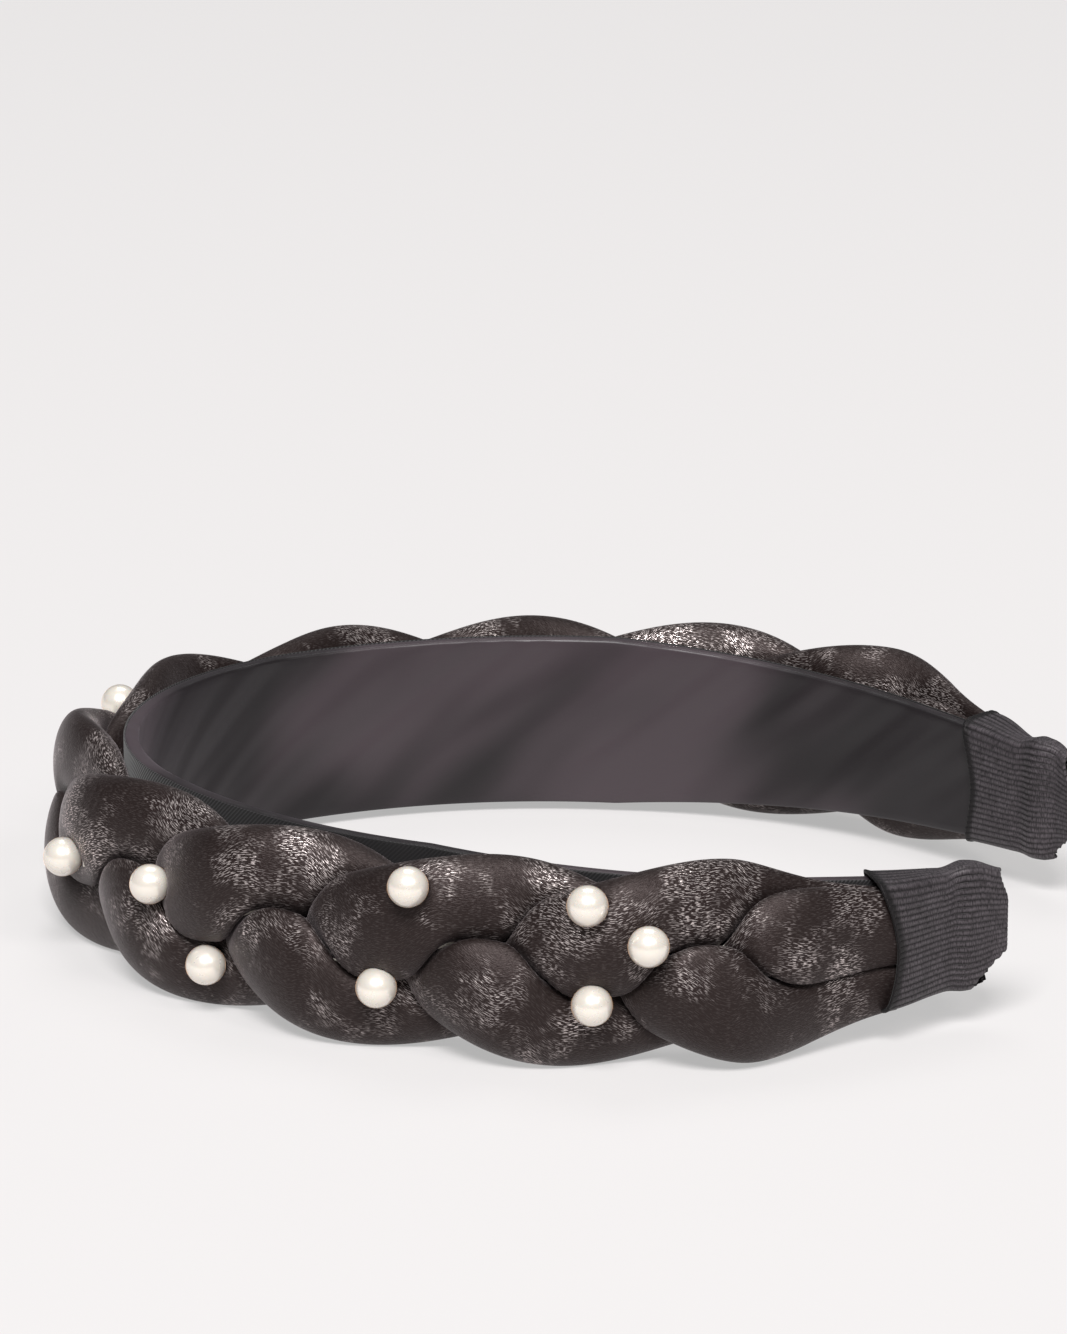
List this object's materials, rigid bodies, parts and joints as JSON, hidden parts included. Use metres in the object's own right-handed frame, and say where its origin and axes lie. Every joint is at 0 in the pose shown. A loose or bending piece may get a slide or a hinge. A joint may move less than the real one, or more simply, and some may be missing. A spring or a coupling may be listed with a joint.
{
  "type": "headband",
  "caption": "Padded headband: a sprung plastic band lined with satin, wrapped in a plump three-strand velvet braid dotted with pearls, with ribbed ribbon on both tips.",
  "frame": {"origin": "centre of the bounding box's bottom face, where the band lies on its side edge", "axes": "+Z across the width of the band, so the band lies on its side; -X towards the crown, +X towards the two tips; -Y is the near leg"},
  "size_m": [0.1587, 0.146, 0.031],
  "materials": {
    "core_plastic": "satin",
    "lining_satin": "satin",
    "backing_twill": "matte",
    "grosgrain": "matte",
    "foam_filling": "matte",
    "braid_velvet": "satin",
    "clear_glue": "gloss",
    "pearl": "gloss"
  },
  "bodies": {
    "root": {"band_core": "core_plastic", "inner_lining": "lining_satin", "outer_backing": "backing_twill", "near_tip_ribbon": "grosgrain", "far_tip_ribbon": "grosgrain", "strand_1_filling": "foam_filling", "strand_2_filling": "foam_filling", "strand_3_filling": "foam_filling", "strand_1_cover": "braid_velvet", "strand_2_cover": "braid_velvet", "strand_3_cover": "braid_velvet", "pearl_01": "pearl", "pearl_02": "pearl", "pearl_03": "pearl", "pearl_04": "pearl", "pearl_05": "pearl", "pearl_06": "pearl", "pearl_07": "pearl", "pearl_08": "pearl", "pearl_09": "pearl", "pearl_10": "pearl", "pearl_11": "pearl", "pearl_12": "pearl", "pearl_13": "pearl", "pearl_14": "pearl", "pearl_15": "pearl", "pearl_16": "pearl", "pearl_17": "pearl", "pearl_18": "pearl", "pearl_19": "pearl", "pearl_20": "pearl", "pearl_21": "pearl", "pearl_22": "pearl", "pearl_23": "pearl", "pearl_24": "pearl", "pearl_25": "pearl", "pearl_26": "pearl", "pearl_glue": "clear_glue", "braid_glue": "clear_glue"}
  },
  "joints": []
}
